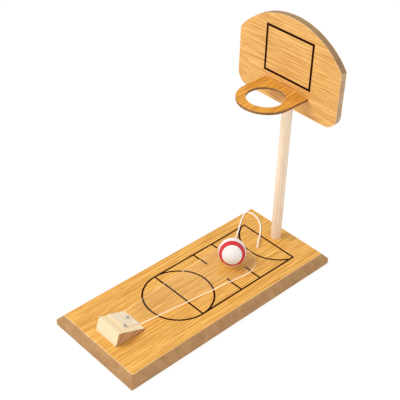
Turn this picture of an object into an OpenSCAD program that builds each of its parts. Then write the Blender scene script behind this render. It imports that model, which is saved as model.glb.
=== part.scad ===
// Tabletop basketball game: a bevelled board with a printed court, a hoop and backboard on a
// round post, and a clear springy tongue on a pine wedge that throws a ball on a cord.
// Millimetres, +Z up. The origin is the middle of the board's underside. The hoop stands at
// the +Y end and the tongue is screwed down at the -Y end.

/* [Base board] */
// Length of the board
base_l = 370; // [340:1:420]
// Width of the board
base_w = 157.5; // [150:0.5:200]
// Thickness of the board with its veneers
base_h = 18; // [16:0.5:24]
// Width of the bevel round the top
bevel_w = 7.7; // [4:0.1:9]
// Height of the bevel round the top
bevel_h = 9; // [4:0.5:10]
// Thickness of every veneer
veneer_t = 0.6; // [0.4:0.1:1]

/* [Court] */
// Width of the court's printed lines
line_w = 2.6; // [1.5:0.1:3]
// Thickness of the printed lines
line_t = 0.1; // [0.05:0.05:0.2]
// Width of the key, between the middles of its side lines
key_w = 98.8; // [90:0.2:110]
// Room between the free throw circle and the wedge's nose
key_gap = 27; // [20:0.5:40]
// Distance of the far line from the hoop end of the board
key_inset = 45; // [42:1:60]
// Radius of the arc under the hoop
arc_r = 55; // [52:1:60]
// Distance of that arc's centre beyond the far line
arc_beyond = 17.5; // [10:0.5:20]
// Length of the lane marks
mark_l = 28; // [20:1:35]
// Distance of the first lane mark from the far line
mark_first = 68; // [60:1:75]
// Distance between the two lane marks of a side
mark_step = 36.5; // [30:0.5:40]

/* [Post] */
// Diameter of the post
post_d = 15; // [12:0.5:18]
// Distance of the post's axis from the hoop end of the board
post_inset = 29; // [27:0.5:34]
// Depth of the post's blind hole
post_depth = 12; // [8:0.5:13]
// Distance of the lap's flat behind the post's axis
lap_back = 3; // [1:0.5:4]
// Height of the lap behind the backboard
lap_l = 60; // [40:1:80]

/* [Backboard] */
// Width of the backboard
board_w = 175; // [150:1:200]
// Thickness of the backboard with its veneers
board_t = 10; // [8.5:0.5:12]
// Height of the backboard's straight sides
board_side = 83; // [70:1:100]
// Radius of the arched top
board_arc_r = 109; // [105:1:150]
// Radius of the lower corners
board_corner_r = 19; // [10:1:25]
// Height of the backboard's lower edge above the base board
board_lift = 228; // [200:1:260]
// Width of the printed rectangle, between the middles of its lines
target_w = 79; // [60:1:90]
// Height of the printed rectangle, between the middles of its lines
target_h = 64.5; // [50:0.5:70]
// Height of the rectangle's lower line above the backboard's lower edge
target_rise = 39.6; // [36:0.1:48]
// Width of the printed rectangle's lines
target_line_w = 3.4; // [2:0.1:4]

/* [Hoop] */
// Diameter of the hole that the ball drops through
hoop_hole_d = 52; // [49:1:60]
// Width of the hoop plate
hoop_w = 78; // [72:1:90]
// Thickness of the hoop plate with its veneers
hoop_t = 4; // [3:0.5:6]
// Distance of the hole's middle from the backboard's front
hoop_reach = 38.5; // [34:0.5:48]
// Height of the hoop's top above the backboard's lower edge
hoop_rise = 27.5; // [20:0.5:34]
// Depth of the hoop's tab in the backboard
hoop_tab = 5; // [3:0.5:7]

/* [Launcher] */
// Width of the wedge
block_w = 42; // [38:1:50]
// Length of the wedge's foot
block_l = 48.7; // [42:0.1:58]
// Height of the wedge's back edge
block_h = 19.8; // [16:0.1:24]
// Height of the wedge's nose
block_nose_h = 2.5; // [2:0.1:4]
// How far the wedge's back leans forward
block_lean = 6.3; // [0:0.1:8]
// Distance of the wedge's nose from the launcher end of the board
block_inset = 70; // [60:1:80]

/* [Tongue] */
// Thickness of the clear sheet
sheet_t = 2; // [1.5:0.1:3]
// Length of the tail that is screwed to the wedge
tail_l = 30; // [28:1:38]
// Width of the tail
tail_w = 33; // [30:1:36]
// Distance of the ball's seat from the hoop end of the board
seat_inset = 120.5; // [110:0.5:140]
// Diameter of the round head
head_d = 68; // [60:1:76]

/* [Ball and cord] */
// Diameter of the ball
ball_d = 40; // [36:1:48]
// Wall of the hollow ball
ball_wall = 0.5; // [0.4:0.1:1]
// Diameter of the cord
cord_d = 2.2; // [1.8:0.1:2.4]
// Diameter of the knots at the cord's ends
knot_d = 6; // [5:0.5:7]
// Distance of the cord's hole from the hoop end of the board
cord_inset = 68; // [66:1:72]

/* [Fasteners] */
// Diameter of a tail screw's round head
tail_screw_head_d = 4.6; // [3:0.1:5]
// Height of a tail screw's round head
tail_screw_head_h = 1.5; // [1.2:0.1:2]
// Diameter of a tail screw's shank
tail_screw_d = 1.6; // [1.2:0.1:2]
// Length of a tail screw under its head
tail_screw_l = 10; // [8:0.5:11]
// Distance of the upper tail screw from the sheet's right edge
tail_screw_side = 2.6; // [2.5:0.1:6]
// Distance of the upper tail screw from the sheet's end
tail_screw_top = 4; // [3:0.5:6]
// Distance of the lower tail screw from the bend
tail_screw_low = 8.5; // [6:0.5:12]
// Distance of the lower tail screw to the left of the sheet's middle
tail_screw_off = 1; // [0:0.5:4]
// Diameter of the wood screws
screw_d = 3.5; // [3:0.1:4]
// Diameter of a screw's countersunk head
screw_head_d = 7; // [6:0.5:8]
// How far the screws reach into the wedge
block_screw_grip = 4.4; // [3:0.1:8]
// How far the screw reaches into the post
post_screw_grip = 24.4; // [15:0.1:35]

/* [Clearances] */
// Room for glue round the post and in the hoop's groove
glue_gap = 0.1; // [0.05:0.05:0.2]
// Room round screws
fastener_gap = 0.1; // [0.05:0.05:0.2]
// Room between the ball and the rim of its seat
seat_gap = 0.4; // [0.3:0.1:0.8]
// Room between the resting ball and the board
ball_gap = 0.4; // [0.3:0.1:0.8]
// Room between the tail and the blade at the bend
bend_gap = 0.3; // [0.2:0.1:0.5]
// Room round the cord in its holes
cord_gap = 0.4; // [0.3:0.1:0.6]

/* [Hidden] */

$fn = 96;

// How far a cutting shape runs past the face that it cuts
over = 2;

oak = "#EDB45A";
hoop_oak = "#D98F2B";
mdf = "#AE8A62";
dowel = "#E0BC93";
pine = "#F4E2BE";
ink = "#1C1210";
steel = "#B9BCC0";
cord_white = "#F6F2EA";

// Places along the board
key_far_y = base_l / 2 - key_inset;
arc_y = key_far_y + arc_beyond;
post_y = base_l / 2 - post_inset;
cord_y = base_l / 2 - cord_inset;
nose_y = block_inset - base_l / 2;
free_throw_y = nose_y + key_gap + (key_w + line_w) / 2;
seat_y = base_l / 2 - seat_inset;

// Heights and the backboard's planes
board_z = base_h + board_lift;
board_back_y = post_y + lap_back;
board_front_y = board_back_y - board_t;
hoop_y = board_front_y - hoop_reach;
hoop_z = board_z + hoop_rise;
blade_z = base_h + block_nose_h;
blade_top_z = blade_z + sheet_t;
ball_r = ball_d / 2;
ball_z = base_h + ball_gap + ball_r;

// Slope of the wedge's top
slope = atan((block_h - block_nose_h) / (block_l - block_lean));

// The seat is as wide as the ball is at the sheet's top, and a little more
seat_r = sqrt(ball_r * ball_r - pow(ball_z - blade_top_z, 2)) + seat_gap;

// The straight edges meet the head this far inside its widest point
shoulder_in = 0.4;

// The sheet is flush with the wedge's left side
tail_left = -block_w / 2;
tail_right = tail_left + tail_w;

// Screws on the tail, each as its place across and up the slope
tail_screw_places = [
    [tail_left + tail_w / 2 - tail_screw_off, tail_screw_low],
    [tail_right - tail_screw_side, tail_l - tail_screw_top]
];

// Cross recess in a tail screw's head, and how far its shank runs into the head
tail_recess_l = 0.6 * tail_screw_head_d;
tail_recess_w = 0.9;
tail_recess_depth = 1;
tail_screw_tuck = 0.3;

// Countersunk heads lie a little below the underside
screw_sink = 0.4;
screw_head_h = (screw_head_d - screw_d) / 2;
screw_tip = 4;
screw_slot_l = 0.6 * screw_head_d;
screw_slot_w = 1;
screw_slot_depth = 1.4;
post_screw_l = base_h - post_depth - screw_sink + post_screw_grip;
block_screw_l = base_h - screw_sink + block_screw_grip;

// Screws under the wedge, as distances from its middle line and behind its nose
block_screw_x = block_w / 4;
block_screw_back = 0.58 * block_l;

// Recess under the board that holds the cord's knot
recess_room = 1.4;
knot_cover = 1.5;
recess_d = knot_d + 2 * recess_room;
recess_depth = knot_d + knot_cover;
base_knot_z = recess_depth - knot_d / 2;

// The cord enters the ball from behind, on its left and below its middle
entry_turn = 130;
entry_drop = 30;
entry_dir = [
    cos(entry_drop) * cos(entry_turn),
    cos(entry_drop) * sin(entry_turn),
    -sin(entry_drop)
];
ball_knot_r = ball_r - ball_wall - cord_gap - knot_d / 2;

// The cord's route from its hole to the ball, with each point's height above the board
cord_route = [
    [0, 117, -11], [0, 117, -5], [0, 117, 0.5], [-1.5, 119, 4], [-4.5, 123, 5], [-9, 129, 3.6],
    [-14, 136, 1.8], [-20, 143.5, 1.3], [-27, 151.5, 1.3], [-35, 158.5, 1.3], [-44, 164, 1.3],
    [-54, 167, 1.3], [-62.5, 167.5, 1.3], [-67.5, 165.5, 1.3], [-68.5, 160.5, 1.3],
    [-65.5, 153.5, 1.3], [-59, 142.5, 1.3], [-51, 131, 1.3], [-43.5, 120.5, 1.3], [-37, 110.5, 1.3],
    [-31.5, 103, 2.5], [-27, 97, 4.9], [-22.5, 91.5, 6], [-18.5, 87, 6.2],
    [-15, 82.6, 7.3], [-11, 77.7, 10.4], [-9.7, 76, 11.7]
];
// Place in the route where the loop on the board ends and the lead to the ball begins
lead_start = 19;
cord_sides = 8;
steps_per_span = 2;

// Smooth curve through the route's points
function along(p, i) = p[max(0, min(len(p) - 1, i))];
function spline(a, b, c, d, t) =
    0.5 * (2 * b + (c - a) * t + (2 * a - 5 * b + 4 * c - d) * t * t + (3 * b - a - 3 * c + d) * t * t * t);
function smooth_route(p, n) = concat(
    [for (i = [0 : len(p) - 2], k = [0 : n - 1])
        spline(along(p, i - 1), along(p, i), along(p, i + 1), along(p, i + 2), k / n)],
    [p[len(p) - 1]]
);
function unit(v) = v / norm(v);
function headings(p) = [for (i = [0 : len(p) - 1]) unit(along(p, i + 1) - along(p, i - 1))];
function carried(u, t) = unit(u - (u * t) * t);
function sideways(t, i, u) =
    i == len(t) ? [] : let (v = carried(u, t[i])) concat([v], sideways(t, i + 1, v));

// Round cord between two places of the route
module cord(first, last) {
    n = cord_sides;
    path = smooth_route(cord_route, steps_per_span);
    t = headings(path);
    u = sideways(t, 0, [1, 0, 0]);
    low = first * steps_per_span;
    spans = (last - first) * steps_per_span;
    points = [
        for (i = [low : low + spans], k = [0 : n - 1])
            let (v = cross(t[i], u[i]), a = 360 * k / n)
            path[i] + cord_d / 2 * (cos(a) * u[i] + sin(a) * v)
    ];
    walls = [
        for (i = [0 : spans - 1], k = [0 : n - 1])
            let (a = i * n + k, b = i * n + (k + 1) % n)
            each [[a, a + n, b + n], [a, b + n, b]]
    ];
    near = [for (k = [1 : n - 2]) [0, k, k + 1]];
    far = [for (k = [1 : n - 2]) [spans * n, spans * n + k + 1, spans * n + k]];
    translate([0, 0, base_h])
        polyhedron(points, concat(walls, near, far));
}

// Outline of the bevelled board across a side of the given width
module bevel_profile(w) {
    polygon([
        [-w / 2, 0], [w / 2, 0], [w / 2, base_h - bevel_h], [w / 2 - bevel_w, base_h],
        [bevel_w - w / 2, base_h], [-w / 2, base_h - bevel_h]
    ]);
}

// Part of the bevelled board between two heights
module base_layer(low, high) {
    intersection() {
        rotate([90, 0, 0])
            linear_extrude(base_l, center = true)
                bevel_profile(base_w);
        rotate([90, 0, 90])
            linear_extrude(base_w, center = true)
                bevel_profile(base_l);
        translate([0, 0, (low + high) / 2])
            cube([base_w + over, base_l + over, high - low], center = true);
    }
}

// Countersunk wood screw that points up from the underside
module screw(l) {
    difference() {
        rotate_extrude()
            polygon([
                [0, 0], [screw_head_d / 2, 0], [screw_d / 2, screw_head_h],
                [screw_d / 2, l - screw_tip], [0, l]
            ]);
        for (turn = [0, 90])
            rotate([0, 0, turn])
                cube([screw_slot_l, screw_slot_w, 2 * screw_slot_depth], center = true);
    }
}

// Hole that a screw passes, with its countersink
module screw_hole(l) {
    g = fastener_gap;
    rotate_extrude()
        polygon([
            [0, -over], [screw_head_d / 2 + g, -over], [screw_head_d / 2 + g, 0],
            [screw_d / 2 + g, screw_head_h], [screw_d / 2 + g, l + g], [0, l + g]
        ]);
}

// Puts its children at each screw of the wedge
module at_block_screws() {
    for (x = [-block_screw_x, block_screw_x])
        translate([x, nose_y - block_screw_back, screw_sink])
            children();
}

// Puts its children at the screw of the post
module at_post_screw() {
    translate([0, post_y, screw_sink])
        children();
}

// Everything that is drilled into the board
module base_holes() {
    translate([0, post_y, base_h - post_depth])
        cylinder(d = post_d + 2 * glue_gap, h = post_depth + over);
    translate([0, cord_y, -over])
        cylinder(d = cord_d + 2 * cord_gap, h = base_h + 2 * over);
    translate([0, cord_y, -over])
        cylinder(d = recess_d, h = recess_depth + over);
    at_post_screw()
        screw_hole(post_screw_l);
    at_block_screws()
        screw_hole(block_screw_l);
    at_tail_screws()
        tail_screw_hole();
}

// Frame on the wedge's top: -Y runs up the slope from the nose, and +Z leaves the wood
module on_slope() {
    translate([0, nose_y, blade_z])
        rotate([-slope, 0, 0])
            children();
}

// Half space behind the bend, or in front of it, by half the bend's gap
module beyond_bend(side) {
    room = base_l;
    translate([0, nose_y, blade_z])
        rotate([-slope / 2, 0, 0])
            translate([0, side * (room - bend_gap) / 2, 0])
                cube([room, room, room], center = true);
}

// Puts its children at each tail screw, with +Z out of the sheet
module at_tail_screws() {
    for (p = tail_screw_places)
        on_slope()
            translate([p[0], -p[1], sheet_t])
                children();
}

// Hole for a tail screw's shank
module tail_screw_hole() {
    translate([0, 0, -tail_screw_l - fastener_gap])
        cylinder(d = tail_screw_d + 2 * fastener_gap, h = tail_screw_l + fastener_gap + over);
}

// Outline of the backboard, with its lower edge on the X axis
module board_outline() {
    r = board_corner_r;
    half = board_w / 2;
    arc_centre = board_side - sqrt(board_arc_r * board_arc_r - half * half);
    full_h = arc_centre + board_arc_r;
    intersection() {
        union() {
            translate([r - half, 0])
                square([board_w - 2 * r, full_h]);
            translate([-half, r])
                square([board_w, full_h]);
            for (x = [r - half, half - r])
                translate([x, r])
                    circle(r);
        }
        translate([0, arc_centre])
            circle(board_arc_r);
    }
}

// Slice of the backboard between two distances behind its front
module board_layer(front, back) {
    translate([0, board_front_y + back, board_z])
        rotate([90, 0, 0])
            linear_extrude(back - front)
                board_outline();
}

// Groove in the backboard that holds the hoop's tab
module hoop_groove() {
    g = glue_gap;
    translate([-hoop_w / 2 - g, board_front_y - over, hoop_z - hoop_t - g])
        cube([hoop_w + 2 * g, hoop_tab + g + over, hoop_t + 2 * g]);
}

// Slice of the hoop plate between two depths below its top
module hoop_layer(top, bottom) {
    translate([0, hoop_y, hoop_z - bottom])
        linear_extrude(bottom - top)
            difference() {
                union() {
                    circle(d = hoop_w);
                    translate([-hoop_w / 2, 0])
                        square([hoop_w, hoop_reach + hoop_tab]);
                }
                circle(d = hoop_hole_d);
                translate([-hoop_w, hoop_reach + hoop_tab])
                    square([2 * hoop_w, hoop_w]);
            }
}

// Line of the given width between two points that share an X or a Y
module line(a, b, w = line_w) {
    low = [min(a[0], b[0]), min(a[1], b[1])];
    high = [max(a[0], b[0]), max(a[1], b[1])];
    translate(low - [w, w] / 2)
        square(high - low + [w, w]);
}

// Printed circle line
module ring(r) {
    difference() {
        circle(r + line_w / 2);
        circle(r - line_w / 2);
    }
}

module base_core() {
    color(mdf)
        difference() {
            base_layer(veneer_t, base_h - veneer_t);
            base_holes();
        }
}

module base_veneer() {
    color(oak)
        difference() {
            base_layer(base_h - veneer_t, base_h);
            base_holes();
        }
}

module base_backing() {
    color(oak)
        difference() {
            base_layer(0, veneer_t);
            base_holes();
        }
}

module court_lines() {
    half = key_w / 2;
    color(ink)
        translate([0, 0, base_h])
            linear_extrude(line_t) {
                line([-half, key_far_y], [half, key_far_y]);
                line([-half, free_throw_y], [half, free_throw_y]);
                for (side = [-1, 1]) {
                    line([side * half, free_throw_y], [side * half, key_far_y]);
                    for (y = [mark_first, mark_first + mark_step])
                        line([side * half, key_far_y - y], [side * (half - mark_l), key_far_y - y]);
                }
                translate([0, free_throw_y])
                    ring(half);
                intersection() {
                    translate([0, arc_y])
                        ring(arc_r);
                    translate([-half, free_throw_y])
                        square([key_w, key_far_y - free_throw_y]);
                }
            }
}

module post() {
    foot_z = base_h - post_depth;
    color(dowel)
        difference() {
            translate([0, post_y, foot_z])
                cylinder(d = post_d, h = board_z + lap_l - foot_z);
            translate([-post_d, board_back_y - 2 * post_d, board_z])
                cube([2 * post_d, 2 * post_d, lap_l + over]);
            at_post_screw()
                screw_hole(post_screw_l);
        }
}

module post_screw() {
    color(steel)
        at_post_screw()
            screw(post_screw_l);
}

module backboard_core() {
    color(mdf)
        difference() {
            board_layer(veneer_t, board_t - veneer_t);
            hoop_groove();
        }
}

module backboard_front_veneer() {
    color(oak)
        difference() {
            board_layer(0, veneer_t);
            hoop_groove();
        }
}

module backboard_back_veneer() {
    color(oak)
        board_layer(board_t - veneer_t, board_t);
}

module backboard_lines() {
    color(ink)
        translate([0, board_front_y, board_z + target_rise])
            rotate([90, 0, 0])
                linear_extrude(line_t) {
                    for (z = [0, target_h])
                        line([-target_w / 2, z], [target_w / 2, z], target_line_w);
                    for (x = [-target_w / 2, target_w / 2])
                        line([x, 0], [x, target_h], target_line_w);
                }
}

module hoop_core() {
    color(mdf)
        hoop_layer(veneer_t, hoop_t - veneer_t);
}

module hoop_top_veneer() {
    color(hoop_oak)
        hoop_layer(0, veneer_t);
}

module hoop_bottom_veneer() {
    color(hoop_oak)
        hoop_layer(hoop_t - veneer_t, hoop_t);
}

module launcher_block() {
    color(pine)
        difference() {
            translate([0, nose_y, base_h])
                rotate([90, 0, 90])
                    linear_extrude(block_w, center = true)
                        polygon([
                            [-block_l, 0], [0, 0], [0, block_nose_h], [block_lean - block_l, block_h]
                        ]);
            at_block_screws()
                screw_hole(block_screw_l);
            at_tail_screws()
                tail_screw_hole();
        }
}

module block_screws() {
    color(steel)
        at_block_screws()
            screw(block_screw_l);
}

module tongue_tail() {
    color("white", 0.4)
        difference() {
            on_slope()
                translate([tail_left, -tail_l, 0])
                    cube([tail_w, tail_l + sheet_t, sheet_t]);
            beyond_bend(1);
            at_tail_screws()
                tail_screw_hole();
        }
}

module tongue_blade() {
    left = [tail_left, nose_y];
    right = [tail_right, nose_y];
    back = [0, -sheet_t];
    shoulder = head_d / 2 - shoulder_in;
    color("white", 0.4)
        difference() {
            translate([0, 0, blade_z]) {
                linear_extrude(sheet_t)
                    polygon([
                        left + back, left, [-shoulder, seat_y], [shoulder, seat_y], right, right + back
                    ]);
                translate([0, seat_y, 0])
                    cylinder(d = head_d, h = sheet_t);
            }
            translate([0, seat_y, blade_z - over])
                cylinder(r = seat_r, h = sheet_t + 2 * over);
            beyond_bend(-1);
        }
}

module tongue_screws() {
    half = tail_screw_head_d / 2;
    high = tail_screw_head_h;
    dome_r = (half * half + high * high) / (2 * high);
    color(steel)
        at_tail_screws() {
            difference() {
                intersection() {
                    translate([0, 0, high - dome_r])
                        sphere(dome_r);
                    cylinder(d = tail_screw_head_d + over, h = high + over);
                }
                for (turn = [0, 90])
                    rotate([0, 0, turn])
                        translate([0, 0, high])
                            cube([tail_recess_l, tail_recess_w, 2 * tail_recess_depth], center = true);
            }
            translate([0, 0, -tail_screw_l])
                cylinder(d = tail_screw_d, h = tail_screw_l + tail_screw_tuck);
        }
}

module ball() {
    color("white")
        translate([0, seat_y, ball_z])
            difference() {
                sphere(ball_r);
                sphere(ball_r - ball_wall);
                rotate([0, 90 + entry_drop, entry_turn])
                    cylinder(d = cord_d + 2 * cord_gap, h = ball_d);
            }
}

module cord_loop() {
    color(cord_white)
        cord(0, lead_start);
}

module cord_lead() {
    color(cord_white)
        cord(lead_start, len(cord_route) - 1);
}

module base_knot() {
    color(cord_white)
        translate([0, cord_y, base_knot_z])
            sphere(d = knot_d);
}

module ball_knot() {
    color(cord_white)
        translate([0, seat_y, ball_z] + ball_knot_r * entry_dir)
            sphere(d = knot_d);
}

base_core();
base_veneer();
base_backing();
court_lines();
post();
post_screw();
backboard_core();
backboard_front_veneer();
backboard_back_veneer();
backboard_lines();
hoop_core();
hoop_top_veneer();
hoop_bottom_veneer();
launcher_block();
block_screws();
tongue_tail();
tongue_blade();
tongue_screws();
ball();
cord_loop();
cord_lead();
base_knot();
ball_knot();
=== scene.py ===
"""Looks of a tabletop basketball game, built around its packed model.

The board lies along +Y from the launcher to the hoop, its underside is the plane z = 0,
and every size is in metres.
"""

import logging
import math
from dataclasses import dataclass
from enum import Enum
from functools import cache
from typing import Any, Callable, Iterable, Sequence

import bmesh
import bpy
from bmesh.types import BMFace, BMVert
from mathutils import Matrix, Vector


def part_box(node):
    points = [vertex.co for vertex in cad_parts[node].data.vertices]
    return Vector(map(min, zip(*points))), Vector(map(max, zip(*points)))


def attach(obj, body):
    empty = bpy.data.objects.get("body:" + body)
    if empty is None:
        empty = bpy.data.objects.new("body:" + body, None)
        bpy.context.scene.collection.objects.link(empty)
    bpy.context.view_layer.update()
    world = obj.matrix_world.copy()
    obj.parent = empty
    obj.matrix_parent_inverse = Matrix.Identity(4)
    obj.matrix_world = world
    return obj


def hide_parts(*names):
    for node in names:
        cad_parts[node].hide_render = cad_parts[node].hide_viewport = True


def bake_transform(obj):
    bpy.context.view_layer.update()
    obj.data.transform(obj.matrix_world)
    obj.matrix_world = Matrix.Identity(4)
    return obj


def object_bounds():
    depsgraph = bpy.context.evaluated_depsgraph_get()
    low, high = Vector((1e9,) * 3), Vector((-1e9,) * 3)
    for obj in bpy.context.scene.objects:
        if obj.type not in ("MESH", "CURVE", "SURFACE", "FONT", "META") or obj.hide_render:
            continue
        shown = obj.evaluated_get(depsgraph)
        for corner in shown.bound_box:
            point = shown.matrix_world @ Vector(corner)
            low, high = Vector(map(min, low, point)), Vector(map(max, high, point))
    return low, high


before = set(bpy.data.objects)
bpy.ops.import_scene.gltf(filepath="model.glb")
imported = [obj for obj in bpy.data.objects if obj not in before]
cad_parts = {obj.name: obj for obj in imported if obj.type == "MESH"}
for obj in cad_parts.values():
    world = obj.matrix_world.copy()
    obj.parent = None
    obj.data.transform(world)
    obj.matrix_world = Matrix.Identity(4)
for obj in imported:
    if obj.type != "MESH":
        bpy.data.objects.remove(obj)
CAD_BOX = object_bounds()
LOG = logging.getLogger("tabletop_game")

Colour = tuple[float, float, float, float]
Socket = bpy.types.NodeSocket

WHITE: Colour = (1.0, 1.0, 1.0, 1.0)

# Chords in a full circle
ROUND_STEPS = 64
# How far a cutter reaches past the face that it cuts
OVER = 0.002
# Distance at which two points count as one
SAME_SPOT = 0.000001
# Turn up to which faces are joined into one flat face
FLAT_TURN = math.radians(0.1)
# Turn from which two faces are shaded apart
SHARP_TURN = math.radians(50)
# Turn from which an edge is rounded
RIM_TURN = math.radians(30)
# Share of its normal that a veneer's face has along its thickness, where its edge has less
VENEER_FLAT = 0.95

# Diffuse depth above which a ray lights a surface and isn't seen by the camera itself
LIGHTING_DEPTH = 0.5
# Range that most of a noise's values lie in
NOISE_RANGE = (0.3, 0.7)
# Noise range that each layer of a wood's grain shows, and the finer layers of that noise
LAYER_RANGE = {"Band": (0.35, 0.72), "Streak": (0.36, 0.66), "Fleck": (0.32, 0.68), "Pore": (0.54, 0.66)}
LAYER_DETAIL = {"Streak": 3.0, "Fleck": 1.0, "Pore": 2.0}
# How far the bands push the finer layers aside, and the scale of that push within a band
BAND_PUSH = (0.003, 0.0, 0.003)
BAND_PUSH_SCALE = 1.3
# Stretch and reach of the crisp lines' sway, and the part of each wave that is a line
SWAY_STRETCH = (0.17, 0.5, 0.17)
SWAY_REACH = 3.2
LINE_RANGE = (0.4, 0.98)
# Stretch of the gaps in the crisp lines, and the noise range that makes a gap
GAP_STRETCH = (0.7, 1.0, 0.7)
GAP_RANGE = (0.38, 0.60)
# Depth of pores and of crisp lines, as shares of a wood's relief
PORE_DEPTH = 0.4
LINE_DEPTH = 0.6


class Body(Enum):
    """Bodies of the packed model that a piece can ride on."""

    BASE = "base"
    TONGUE = "tongue"
    BALL = "ball"


class Slot(Enum):
    """Material slots of the packed record."""

    OAK = "oak_veneer"
    HOOP_OAK = "hoop_veneer"
    MDF = "mdf"
    DOWEL = "dowel"
    PINE = "pine"
    CLEAR = "clear_sheet"
    BALL = "ball_white"
    CORD = "cord"


class Grain(Enum):
    """Direction of wood fibres, as the turn that lays them along a pattern's Y axis.

    The turn also lays the growth rings along the pattern's Z axis: level ones, or ones that rise
    towards the hoop.
    """

    ALONG_X_LEVEL = (math.pi / 2, 0.0, math.pi / 2)
    ALONG_X_RISING = (math.radians(56), 0.0, math.pi / 2)
    ALONG_Y = (0.0, 0.0, 0.0)
    ALONG_Z = (math.pi / 2, 0.0, 0.0)


def paint(red: int, green: int, blue: int) -> Colour:
    """Turns a colour written in screen values into the linear colour that shaders take.

    Args:
        red: Red from 0 to 255.
        green: Green from 0 to 255.
        blue: Blue from 0 to 255.

    Returns:
        The linear colour with full opacity.
    """
    def linear(value: int) -> float:
        """Gives one channel's linear value."""
        share = value / 255
        return share / 12.92 if share <= 0.04045 else ((share + 0.055) / 1.055) ** 2.4
    return (linear(red), linear(green), linear(blue), 1.0)


# Node building

class NodeDesk:
    """Adds nodes to one node tree and wires them."""

    def __init__(self, tree: bpy.types.NodeTree) -> None:
        """Keeps the tree that nodes go into."""
        self.tree = tree

    def add(self, kind: str, wires: dict[str | int, Any] | None = None, **settings: Any) -> bpy.types.Node:
        """Adds a node.

        Args:
            kind: Blender's name of the node type.
            wires: Value or source socket for each named or numbered input.
            **settings: Properties of the node itself.

        Returns:
            The new node.
        """
        node = self.tree.nodes.new(kind)
        for name, value in settings.items():
            setattr(node, name, value)
        for name, value in (wires or {}).items():
            self.feed(node.inputs[name], value)
        return node

    def feed(self, socket: Socket, value: Any) -> None:
        """Links a source socket to an input, or sets the input's own value.

        Args:
            socket: The input.
            value: The source socket or the value.
        """
        if isinstance(value, Socket):
            self.tree.links.new(value, socket)
        else:
            socket.default_value = value

    def maths(self, operation: str, first: Any, second: Any = 0.0, third: Any = 0.0) -> Socket:
        """Gives the result of a sum on two or three numbers."""
        return self.add("ShaderNodeMath", {0: first, 1: second, 2: third}, operation=operation).outputs[0]

    def vectors(self, operation: str, first: Any, second: Any) -> Socket:
        """Gives the vector that comes of two vectors."""
        return self.add("ShaderNodeVectorMath", {0: first, 1: second}, operation=operation).outputs[0]

    def span(self, value: Any, low: float, high: float, start: float = 0.0, end: float = 1.0) -> Socket:
        """Eases a value from one range into another.

        Args:
            value: Number to ease.
            low: Value that gives start.
            high: Value that gives end.
            start: Least result.
            end: Greatest result.

        Returns:
            The eased number.
        """
        wires = {"Value": value, "From Min": low, "From Max": high, "To Min": start, "To Max": end}
        return self.add("ShaderNodeMapRange", wires, interpolation_type="SMOOTHSTEP").outputs[0]

    def noise(self, vector: Any, scale: float = 1.0, detail: float = 2.0, roughness: float = 0.5) -> Socket:
        """Gives soft noise from 0 to 1 over a pattern's coordinates."""
        wires = {"Vector": vector, "Scale": scale, "Detail": detail, "Roughness": roughness}
        return self.add("ShaderNodeTexNoise", wires).outputs[0]

    def mixed(self, share: Any, first: Any, second: Any) -> Socket:
        """Mixes two colours by a share of the second."""
        wires = {0: share, 6: first, 7: second}
        return self.add("ShaderNodeMix", wires, data_type="RGBA").outputs[2]

    def blended(self, share: Any, first: Socket, second: Socket) -> Socket:
        """Mixes two shaders by a share of the second."""
        return self.add("ShaderNodeMixShader", {0: share, 1: first, 2: second}).outputs[0]

    def show(self, output: str, shader: Socket) -> None:
        """Feeds a shader to the surface of the named output node."""
        self.feed(self.tree.nodes[output].inputs["Surface"], shader)


def effect_group(name: str, inputs: dict[str, str], outputs: dict[str, str]) -> bpy.types.NodeTree:
    """Starts a shader node group.

    Args:
        name: Name of the group.
        inputs: Socket type of each named input.
        outputs: Socket type of each named output.

    Returns:
        The empty group with its sockets.
    """
    tree = bpy.data.node_groups.new(name, "ShaderNodeTree")
    for way, sockets in (("INPUT", inputs), ("OUTPUT", outputs)):
        for socket, kind in sockets.items():
            tree.interface.new_socket(name=socket, in_out=way, socket_type=f"NodeSocket{kind}")
    return tree


def grown(desk: NodeDesk, place: Socket, scale: Socket, detail: float) -> Socket:
    """Gives noise that is stretched along the fibres.

    Args:
        desk: Desk of the tree that the noise goes into.
        place: Coordinates with the fibres along Y.
        scale: Scale of the noise along each axis.
        detail: Number of finer layers.

    Returns:
        The noise.
    """
    return desk.noise(desk.vectors("MULTIPLY", place, scale), detail=detail)


def broken_lines(desk: NodeDesk, place: Socket) -> Socket:
    """Gives crisp lines along Y, one about every unit of X, that sway, fade and break.

    Args:
        desk: Desk of the tree that the lines go into.
        place: Coordinates in units of the lines' spacing and length.

    Returns:
        The lines, from 0 between them to 1 on them.
    """
    sway = desk.noise(desk.vectors("MULTIPLY", place, SWAY_STRETCH))
    across = desk.add("ShaderNodeSeparateXYZ", {0: place}).outputs[0]
    turn = desk.maths("ADD", across, desk.maths("MULTIPLY", sway, SWAY_REACH))
    wave = desk.span(desk.maths("SINE", desk.maths("MULTIPLY", turn, math.tau)), *LINE_RANGE)
    parted = desk.noise(desk.vectors("MULTIPLY", place, GAP_STRETCH))
    return desk.maths("MULTIPLY", wave, desk.span(parted, *GAP_RANGE))


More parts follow.
